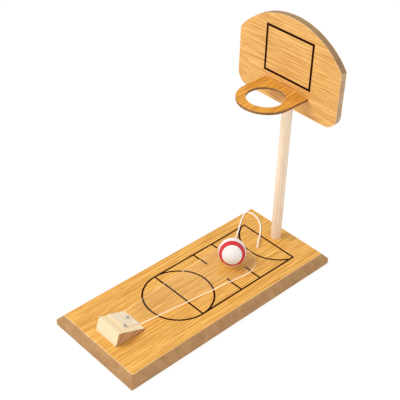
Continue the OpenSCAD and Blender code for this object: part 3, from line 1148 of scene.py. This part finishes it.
@dataclass
class Tether:
    """Cord from its hole in the board, over the board in a loop, to the ball, with a knot at each end."""

    diameter: float = 0.0022
    sides: int = 24
    step: float = 0.0003
    braid_lift: float = 0.05
    braid_level: float = 0.4
    knot_size: float = 0.0006
    knot_height: float = 1.6
    knot_steps: int = 96
    lead_start: int = 19
    heights: tuple[tuple[float, float, float], ...] = (
        (0, 0.117, -0.011), (0, 0.117, -0.005), (0, 0.117, 0.0005), (-0.0015, 0.119, 0.004),
        (-0.0045, 0.123, 0.005), (-0.009, 0.129, 0.0036), (-0.014, 0.136, 0.0018), (-0.020, 0.1435, 0.0013),
        (-0.027, 0.1515, 0.0013), (-0.035, 0.1585, 0.0013), (-0.044, 0.164, 0.0013),
        (-0.054, 0.167, 0.0013), (-0.0625, 0.1675, 0.0013), (-0.0675, 0.1655, 0.0013),
        (-0.0685, 0.1605, 0.0013), (-0.0655, 0.1535, 0.0013), (-0.059, 0.1425, 0.0013),
        (-0.051, 0.131, 0.0013), (-0.0435, 0.1205, 0.0013), (-0.037, 0.1105, 0.0013),
        (-0.0315, 0.103, 0.0025), (-0.027, 0.097, 0.0049), (-0.0225, 0.0915, 0.006),
        (-0.0185, 0.087, 0.0062), (-0.015, 0.0826, 0.0073), (-0.011, 0.0777, 0.0104),
        (-0.0097, 0.076, 0.0117),
    )

    def build(self) -> None:
        """Builds the two stretches of cord and the two knots."""
        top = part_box("base_veneer")[1].z
        route = [Vector((x, y, top + rise)) for x, y, rise in self.heights]
        loop = self.smooth(route, 0, self.lead_start)
        lead = self.smooth(route, self.lead_start, len(route) - 1)
        first = self.tube(loop).install("cord_on_board", Slot.CORD, [WHITE_CORD], ["cord_loop"], None)
        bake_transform(first)
        second = self.tube(lead).install("cord_to_ball", Slot.CORD, [WHITE_CORD], ["cord_lead"], None)
        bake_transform(second)
        knots = {"base_knot": ("knot_under_board", Body.BASE), "ball_knot": ("knot_in_ball", Body.BALL)}
        under, inside = (self.tie(node, *given) for node, given in knots.items())

    @staticmethod
    def length(line: Sequence[Vector]) -> float:
        """Gives the length of a line of points."""
        return sum((b - a).length for a, b in zip(line, line[1:]))

    def smooth(self, route: Sequence[Vector], first: int, last: int) -> list[Vector]:
        """Gives close points on the smooth curve through part of a route.

        Args:
            route: Points of the whole route.
            first: Number of the point that the part starts at.
            last: Number of the point that it ends at.

        Returns:
            The points, about one step apart.
        """
        line = []
        for i in range(first, last):
            before, start = route[max(i - 1, 0)], route[i]
            end, after = route[i + 1], route[min(i + 2, len(route) - 1)]
            steps = max(2, round((end - start).length / self.step))
            for t in (k / steps for k in range(steps)):
                line.append(0.5 * (
                    2 * start + (end - before) * t + (2 * before - 5 * start + 4 * end - after) * t * t
                    + (3 * start - before - 3 * end + after) * t ** 3
                ))
        return line + [route[last]]

    def tube(self, line: Sequence[Vector]) -> Workpiece:
        """Extrudes a ring along a line, lays a map on it and raises its braid.

        Args:
            line: Points that the tube follows.

        Returns:
            The closed tube with a map named braid: turns across and metres along.
        """
        piece = Workpiece()
        mesh = piece.mesh
        side = mesh.verts.layers.int.new("side")
        run = mesh.verts.layers.float.new("run")
        heading = (line[1] - line[0]).normalized()
        place = Matrix.Translation(line[0]) @ heading.to_track_quat("Z", "Y").to_matrix().to_4x4()
        made = bmesh.ops.create_circle(mesh, segments=self.sides, radius=self.diameter / 2, matrix=place)
        for number, vert in enumerate(made["verts"]):
            vert[side] = number
        edges = mesh.edges[:]
        distance = 0.0
        for past, point in zip(line, line[1:]):
            made = bmesh.ops.extrude_edge_only(mesh, edges=edges)["geom"]
            ring = [part for part in made if isinstance(part, BMVert)]
            edges = [part for part in made if isinstance(part, bmesh.types.BMEdge)]
            turn = heading.rotation_difference(point - past).to_matrix()
            bmesh.ops.rotate(mesh, cent=past, matrix=turn, verts=ring)
            bmesh.ops.translate(mesh, vec=point - past, verts=ring)
            heading = (point - past).normalized()
            distance += (point - past).length
            for vert in ring:
                vert[run] = distance
        self.lay_map(piece, side, run)
        bmesh.ops.holes_fill(mesh, edges=[edge for edge in mesh.edges if edge.is_boundary])
        piece.outwards()
        self.raise_braid(piece, side, run)
        return piece

    def lay_map(self, piece: Workpiece, side: Any, run: Any) -> None:
        """Lays the braid's map on a tube: turns across, and metres along.

        Args:
            piece: The tube.
            side: Layer with each vertex's number round the tube.
            run: Layer with its distance along the tube.
        """
        braid = piece.mesh.loops.layers.uv.new("braid")
        for face in piece.mesh.faces:
            seam = any(vert[side] == self.sides - 1 for vert in face.verts)
            for loop in face.loops:
                number = loop.vert[side]
                number = self.sides if seam and number == 0 else number
                loop[braid].uv = (number / self.sides, loop.vert[run])

    def raise_braid(self, piece: Workpiece, side: Any, run: Any) -> None:
        """Lifts the crossing strands off a tube's surface.

        Args:
            piece: The tube.
            side: Layer with each vertex's number round the tube.
            run: Layer with its distance along the tube.
        """
        piece.mesh.normal_update()
        strands, pitch = WHITE_CORD.strands, WHITE_CORD.pitch
        lift = self.braid_lift * self.diameter / 2
        for vert in piece.mesh.verts:
            turn = strands * math.tau * vert[side] / self.sides
            along = math.tau * vert[run] / pitch
            strand = max(math.sin(turn + along), math.sin(turn - along))
            vert.co += vert.normal * lift * (strand - self.braid_level)

    def tie(self, node: str, name: str, body: Body) -> bpy.types.Object:
        """Ties a knot where a packed node has its round one.

        Args:
            node: Packed node that the knot stands for.
            name: Name of the piece.
            body: Body that it rides on.

        Returns:
            The knot's object.
        """
        low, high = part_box(node)
        middle = (low + high) / 2
        line = []
        for t in (math.tau * k / self.knot_steps for k in range(self.knot_steps + 1)):
            x = math.sin(t) + 2 * math.sin(2 * t)
            y = math.cos(t) - 2 * math.cos(2 * t)
            z = -self.knot_height * math.sin(3 * t)
            line.append(middle + self.knot_size * Vector((x, y, z)))
        return self.tube(line).install(name, Slot.CORD, [WHITE_CORD], [node], body)


@dataclass
class PlayingBoard:
    """Bevelled board with a veneer on each side, the printed court and the holes from below."""

    bevel_width: float = 0.0077
    bevel_height: float = 0.009
    edge: float = 0.0005
    veneer_edge: float = 0.00012
    cord_hole: Round = Round(0, 0.117, 0.0015)
    knot_recess: Round = Round(0, 0.117, 0.0044)
    knot_depth: float = 0.0075
    post_hole: Round = Round(0, 0.156, 0.0076)
    post_floor: float = 0.006
    screws: tuple[Round, ...] = (Round(0, 0.156, 0.0036), Round(-0.0105, -0.14325, 0.0036),
                                 Round(0.0105, -0.14325, 0.0036))
    screw_shank: float = 0.0019
    screw_sink: float = 0.0004
    screw_head: float = 0.00175

    def build(self) -> None:
        """Builds the board's three layers and dresses its printed lines."""
        self.low, self.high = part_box("base_core")
        self.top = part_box("base_veneer")[1].z
        self.core()
        sheets = {
            "board_veneer": ("base_veneer", self.high.z, self.top, (self.cord_hole, self.post_hole)),
            "board_backing": ("base_backing", 0, self.low.z, (self.knot_recess, *self.screws)),
        }
        for name, (node, low, high, holes) in sheets.items():
            cutters = [Workpiece.rod(hole, low - OVER, high + OVER) for hole in holes]
            piece = self.tapered(low, high).soften(self.veneer_edge, segments=1).carve(*cutters)
            piece.mark_rim(Vector((0, 0, 1)), VENEER_FLAT)
            piece.install(name, Slot.OAK, [COURT_OAK, VENEER_EDGE], [node])
        dress_node("court_lines", COURT_INK)

    def half_size(self, z: float) -> Vector:
        """Gives half the board's width and length at a height.

        Args:
            z: The height.

        Returns:
            Half the width, half the length, and 1.
        """
        start = self.top - self.bevel_height
        inset = self.bevel_width * max(0.0, z - start) / self.bevel_height
        return Vector((self.high.x - inset, self.high.y - inset, 1.0))

    def tapered(self, low: float, high: float) -> Workpiece:
        """Makes the part of the board between two heights with no change of slope between them.

        Args:
            low: Height of its lower face.
            high: Height of its upper face.

        Returns:
            The part.
        """
        wide, narrow = self.half_size(low), self.half_size(high)
        piece = Workpiece.block(Vector((-wide.x, -wide.y, low)), Vector((wide.x, wide.y, high)))
        upper = [vert for vert in piece.mesh.verts if vert.co.z > (low + high) / 2]
        ratio = Vector((narrow.x / wide.x, narrow.y / wide.y, 1.0))
        bmesh.ops.scale(piece.mesh, vec=ratio, verts=upper)
        return piece

    def core(self) -> None:
        """Builds the bare board between the veneers, with its bevel and holes."""
        shoulder = self.top - self.bevel_height
        piece = self.tapered(self.low.z, shoulder)
        mesh = piece.mesh
        upper = max(mesh.faces, key=lambda face: face.calc_center_median().z)
        made = bmesh.ops.extrude_face_region(mesh, geom=[upper])["geom"]
        raised = [part for part in made if isinstance(part, BMVert)]
        bmesh.ops.delete(mesh, geom=[upper], context="FACES_ONLY")
        wide, narrow = self.half_size(shoulder), self.half_size(self.high.z)
        bmesh.ops.scale(mesh, vec=(narrow.x / wide.x, narrow.y / wide.y, 1.0), verts=raised)
        bmesh.ops.translate(mesh, vec=(0, 0, self.high.z - shoulder), verts=raised)
        piece.outwards().soften(self.edge, segments=3)
        cutters = [
            Workpiece.rod(self.knot_recess, -OVER, self.knot_depth),
            Workpiece.rod(self.cord_hole, self.knot_depth / 2, self.top + OVER),
            Workpiece.rod(self.post_hole, self.post_floor, self.top + OVER),
        ]
        for screw in self.screws:
            sunk = self.screw_sink
            cutters.append(Workpiece.rod(screw, sunk, sunk + self.screw_head, self.screw_shank))
            cutters.append(Workpiece.rod(Round(screw.x, screw.y, self.screw_shank), sunk, self.top - OVER))
        piece.carve(*cutters)
        piece.install("board_core", Slot.MDF, [BARE_MDF], ["base_core"])


@dataclass
class HoopStand:
    """Round post with the backboard on its lap and the hoop plate in the backboard's groove."""

    post_edge: float = 0.0008
    corner_radius: float = 0.019
    corner_steps: int = 12
    arch_radius: float = 0.109
    arch_steps: int = 48
    arch_upwards: float = 0.3
    side_height: float = 0.083
    veneer: float = 0.0006
    plate_edge: float = 0.0004
    veneer_edge: float = 0.00012
    groove_room: float = 0.0001
    hoop_radius: float = 0.026
    hoop_steps: int = 48

    def build(self) -> None:
        """Builds the post, the backboard and the hoop, and dresses the printed rectangle and the screw."""
        self.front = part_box("backboard_front_veneer")[0].y
        self.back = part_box("backboard_back_veneer")[1].y
        self.board_low, self.board_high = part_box("backboard_core")
        self.hoop_low, self.hoop_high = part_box("hoop_core")
        self.post()
        self.backboard()
        self.hoop()
        dress_node("backboard_lines", COURT_INK)
        dress_node("post_screw", STEEL)

    def post(self) -> None:
        """Turns the post, rounds its ends and cuts the lap that the backboard is glued to."""
        low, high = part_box("post")
        radius = high.x
        middle = high.y - radius
        piece = Workpiece.rod(Round(0, middle, radius), low.z, high.z).soften(self.post_edge, segments=3)
        lap_low = Vector((-2 * radius, middle - 2 * radius, self.board_low.z))
        lap_high = Vector((2 * radius, self.back, high.z + OVER))
        piece.carve(Workpiece.block(lap_low, lap_high))
        piece.install("dowel_post", Slot.DOWEL, [PALE_DOWEL], ["post"])

    def arched(self) -> list[Vector]:
        """Gives the backboard's outline.

        Returns:
            Its corners, with x across and y up from its lower edge.
        """
        half = self.board_high.x
        r = self.corner_radius
        rise = self.side_height - math.sqrt(self.arch_radius ** 2 - half ** 2)
        spring = math.atan2(self.side_height - rise, half)
        quarter = math.pi / 2
        return [
            *Round(half - r, r, r).arc(-quarter, 0, self.corner_steps),
            *Round(0, rise, self.arch_radius).arc(spring, math.pi - spring, self.arch_steps),
            *Round(r - half, r, r).arc(math.pi, 3 * quarter, self.corner_steps),
        ]

    def layer(self, front: float, back: float, edge: float) -> Workpiece:
        """Makes one upright layer of the backboard.

        Args:
            front: Place of its front face along Y.
            back: Place of its back face.
            edge: Width of the rounding on its edges.

        Returns:
            The layer.
        """
        upright = Matrix.Rotation(math.pi / 2, 4, "X")
        place = Matrix.Translation((0, back, self.board_low.z)) @ upright
        return Workpiece.plate(self.arched(), (), back - front).soften(edge).moved(place)

    def groove(self) -> Workpiece:
        """Makes the cutter for the groove that holds the hoop.

        Returns:
            The cutter.
        """
        room = self.groove_room
        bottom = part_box("hoop_bottom_veneer")[0].z
        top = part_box("hoop_top_veneer")[1].z
        low = Vector((self.hoop_low.x - room, self.front - OVER, bottom - room))
        high = Vector((self.hoop_high.x + room, self.hoop_high.y + room, top + room))
        return Workpiece.block(low, high)

    def backboard(self) -> None:
        """Builds the backboard's core and its two veneers."""
        inner_front, inner_back = self.front + self.veneer, self.back - self.veneer
        core = self.layer(inner_front, inner_back, self.plate_edge).carve(self.groove())
        shoulder = self.board_low.z + self.side_height
        # Painted shade: where the arch's edge faces up, it gets the darker copy of the fibre
        core.mark(
            1,
            lambda face: face.normal.z > self.arch_upwards and face.calc_center_median().z > shoulder,
        )
        core.install("backboard_panel", Slot.MDF, [PANEL_MDF, SHADED_ARCH_MDF], ["backboard_core"])
        face = self.layer(self.front, inner_front, self.veneer_edge).carve(self.groove())
        rear = self.layer(inner_back, self.back, self.veneer_edge)
        sheets = {
            "backboard_face": (face, "backboard_front_veneer"),
            "backboard_rear": (rear, "backboard_back_veneer"),
        }
        for name, (sheet, node) in sheets.items():
            sheet.mark_rim(Vector((0, 1, 0)), VENEER_FLAT)
            sheet.install(name, Slot.OAK, [PANEL_OAK, VENEER_EDGE], [node])

    def hoop(self) -> None:
        """Builds the hoop plate's core and its two veneers."""
        half = self.hoop_high.x
        middle = self.hoop_low.y + half
        outline = [
            *Round(0, middle, half).arc(math.pi, math.tau, self.hoop_steps),
            Vector((half, self.hoop_high.y, 0)),
            Vector((-half, self.hoop_high.y, 0)),
        ]
        hole = Round(0, middle, self.hoop_radius)
        layers = {
            "hoop_core": ("hoop_plate", Slot.MDF, SCORCHED_EDGE),
            "hoop_top_veneer": ("hoop_face", Slot.HOOP_OAK, HOOP_OAK),
            "hoop_bottom_veneer": ("hoop_underface", Slot.HOOP_OAK, HOOP_OAK),
        }
        for node, (name, slot, finish) in layers.items():
            low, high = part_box(node)
            layer = Workpiece.plate(outline, [hole], high.z - low.z).soften(self.veneer_edge, segments=1)
            layer.moved(Matrix.Translation((0, 0, low.z))).install(name, slot, [finish], [node])


@dataclass
class Launcher:
    """Pine wedge with the clear springy tongue screwed to its slope."""

    wedge_edge: float = 0.0006
    wedge_turn: float = math.radians(10)
    end_grain: float = 0.7
    nose_height: float = 0.0025
    lean: float = 0.0063
    tail_left: float = -0.021
    tail_right: float = 0.012
    tail_length: float = 0.030
    head_radius: float = 0.034
    head_steps: int = 64
    seat: Round = Round(0, 0.0645, 0.01253)
    lift: float = 0.0001
    sheet_edge: float = 0.0001
    sheet_flat: float = 0.9
    bend_half: float = 0.003
    bend_steps: int = 10
    flex_end: float = -0.040
    flex_step: float = 0.005
    screws: tuple[tuple[float, float], ...] = ((-0.0055, 0.0085), (0.0094, 0.026))
    screw_radius: float = 0.0009

    def build(self) -> None:
        """Builds the wedge and the tongue, and dresses the screws."""
        self.low, self.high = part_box("launcher_block")
        self.nose = self.high.y
        run = self.high.y - self.low.y - self.lean
        self.slope = math.atan2(self.high.z - self.low.z - self.nose_height, run)
        self.wedge()
        self.tongue()
        dress_node("tongue_screws", self.screw_finish())
        dress_node("block_screws", STEEL)

    def screw_finish(self) -> PlatedSteel:
        """Gives the finish of the tail's screws.

        Returns:
            Plated steel with grime round their axes.
        """
        out = (0.0, math.sin(self.slope), math.cos(self.slope))
        nose = self.low.z + self.nose_height
        cores = tuple(
            Vector((x, self.nose - up * math.cos(self.slope), nose + up * math.sin(self.slope)))
            for x, up in self.screws
        )
        return PlatedSteel("tail_screw_steel", STEEL.bright, STEEL.dull, cores=cores, axis=out)

    def wedge(self) -> None:
        """Builds the wedge from its side, and gives its two ends their end grain."""
        low, high = self.low, self.high
        side = [
            Vector((low.y, low.z, 0)),
            Vector((high.y, low.z, 0)),
            Vector((high.y, low.z + self.nose_height, 0)),
            Vector((low.y + self.lean, high.z, 0)),
        ]
        upright = Matrix(((0, 0, 1, low.x), (1, 0, 0, 0), (0, 1, 0, 0), (0, 0, 0, 1)))
        piece = Workpiece.plate(side, (), high.x - low.x)
        piece.soften(self.wedge_edge, segments=3, least=self.wedge_turn)
        piece.moved(upright).mark(1, lambda face: abs(face.normal.x) > self.end_grain)
        piece.install("pine_wedge", Slot.PINE, [PINE_FACE, PINE_END], ["launcher_block"])

    def outline(self) -> list[Vector]:
        """Gives the sheet's edge as it was cut, before its tail was bent up.

        Returns:
            Its corners in order.
        """
        head = Round(self.seat.x, self.seat.y, self.head_radius)
        back = self.nose - self.tail_length
        left = self.touch(Vector((self.tail_left, self.nose)), head, 1)
        right = self.touch(Vector((self.tail_right, self.nose)), head, -1)
        return [
            Vector((self.tail_left, back, 0)),
            Vector((self.tail_left, self.nose, 0)),
            *head.arc(left, right, self.head_steps),
            Vector((self.tail_right, self.nose, 0)),
            Vector((self.tail_right, back, 0)),
        ]

    @staticmethod
    def touch(corner: Vector, circle: Round, side: int) -> float:
        """Gives the turn at which a line from a corner touches a circle.

        Args:
            corner: Point that the line starts from.
            circle: Circle that it touches.
            side: 1 for the circle's left side, seen from the corner, and -1 for its right.

        Returns:
            The turn of the touching point round the circle's centre.
        """
        reach = Vector((circle.x, circle.y)) - corner
        return math.atan2(reach.y, reach.x) + side * (math.asin(circle.radius / reach.length) + math.pi / 2)

    def tongue(self) -> None:
        """Builds the tongue as one sheet, bends its tail up the wedge and lets it flex past the nose."""
        blade_low, blade_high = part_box("tongue_blade")
        bottom = blade_low.z + self.lift
        bend = 2 * self.bend_half
        cuts = [self.nose + self.bend_half - bend * k / self.bend_steps for k in range(self.bend_steps + 1)]
        place = self.nose + self.flex_step
        while place < self.flex_end:
            cuts.append(place)
            place += self.flex_step
        holes = [Round(x, self.nose - up, self.screw_radius) for x, up in self.screws]
        piece = Workpiece.plate(self.outline(), [self.seat, *holes], blade_high.z - bottom, cuts)
        piece.soften(self.sheet_edge, limited=False).mark_rim(Vector((0, 0, 1)), self.sheet_flat)
        # The tail's edges get the fainter painted glow
        piece.mark(2, lambda face: face.material_index == 1 and face.calc_center_median().y < self.nose)
        piece.mark(3, lambda face: face.material_index == 0 and face.calc_center_median().y < self.nose)
        for vert in piece.mesh.verts:
            vert.co = self.bent(vert.co, bottom)
        finishes = [CLEAR_PLASTIC, CLEAR_EDGE, FAINT_EDGE, CLEAR_TAIL]
        made = piece.install("clear_tongue", Slot.CLEAR, finishes, ["tongue_tail", "tongue_blade"], None)
        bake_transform(made)

    def bent(self, point: Vector, bottom: float) -> Vector:
        """Gives where a point of the flat sheet lies once the tail is bent up.

        Args:
            point: The point on the flat sheet, with its height above the sheet's lower face.
            bottom: Height of the lower face of the flat blade.

        Returns:
            The point's place in the frame.
        """
        start = self.nose + self.bend_half
        gone = max(0.0, start - point.y)
        if gone == 0.0:
            return Vector((point.x, point.y, bottom + point.z))
        radius = 2 * self.bend_half / self.slope
        turn = min(gone / radius, self.slope)
        rest = gone - turn * radius
        y = start - radius * math.sin(turn) - rest * math.cos(turn)
        z = radius * (1 - math.cos(turn)) + rest * math.sin(turn)
        return Vector((point.x, y + point.z * math.sin(turn), bottom + z + point.z * math.cos(turn)))


@dataclass
class TetheredBall:
    """Hollow white ball with a printed ring and a hole for its cord."""

    radius: float = 0.020
    wall: float = 0.0005
    middle: tuple[float, float, float] = (0.0, 0.0645, 0.0384)
    entry_turn: float = math.radians(130)
    entry_drop: float = math.radians(30)
    hole_radius: float = 0.00125
    rings: int = 48
    ring_axis: tuple[float, float, float] = (0.636, -0.671, 0.380)
    ring_inner: float = math.radians(45)
    ring_outer: float = math.radians(68.5)

    def build(self) -> None:
        """Spins the shell about the cord's hole, gives it its wall and prints its ring."""
        piece = Workpiece()
        mesh = piece.mesh
        first = math.asin(self.hole_radius / self.radius)
        turns = [first + (math.pi - first) * k / self.rings for k in range(self.rings + 1)]
        profile = [mesh.verts.new((self.radius * math.sin(t), 0, self.radius * math.cos(t))) for t in turns]
        edges = [mesh.edges.new(pair) for pair in zip(profile, profile[1:])]
        bmesh.ops.spin(
            mesh,
            geom=profile + edges,
            cent=(0, 0, 0),
            axis=(0, 0, 1),
            angle=math.tau,
            steps=ROUND_STEPS,
            use_merge=True,
        )
        bmesh.ops.remove_doubles(mesh, verts=mesh.verts[:], dist=SAME_SPOT)
        piece.outwards()
        level = math.cos(self.entry_drop)
        entry = Vector((level * math.cos(self.entry_turn), level * math.sin(self.entry_turn),
                        -math.sin(self.entry_drop)))
        piece.moved(Matrix.Translation(self.middle) @ entry.to_track_quat("Z", "Y").to_matrix().to_4x4())
        finish = RingedBall(
            "ringed_ball", paint(251, 248, 244), paint(212, 38, 48),
            centre=self.middle, axis=self.ring_axis, inner=self.ring_inner, outer=self.ring_outer,
        )
        made = piece.install("ball_shell", Slot.BALL, [finish], ["ball"], Body.BALL)
        shell = made.modifiers.new("wall", "SOLIDIFY")
        shell.thickness = self.wall
        shell.offset = -1


def main() -> None:
    """Builds the stage and the object's sub-assemblies, in order."""
    logging.basicConfig(level=logging.INFO, format="%(name)s: %(message)s")
    for part in (Studio(), Tether(), PlayingBoard(), HoopStand(), Launcher(), TetheredBall()):
        LOG.info("building: %s", type(part).__doc__)
        part.build()


if __name__ == "__main__":
    main()
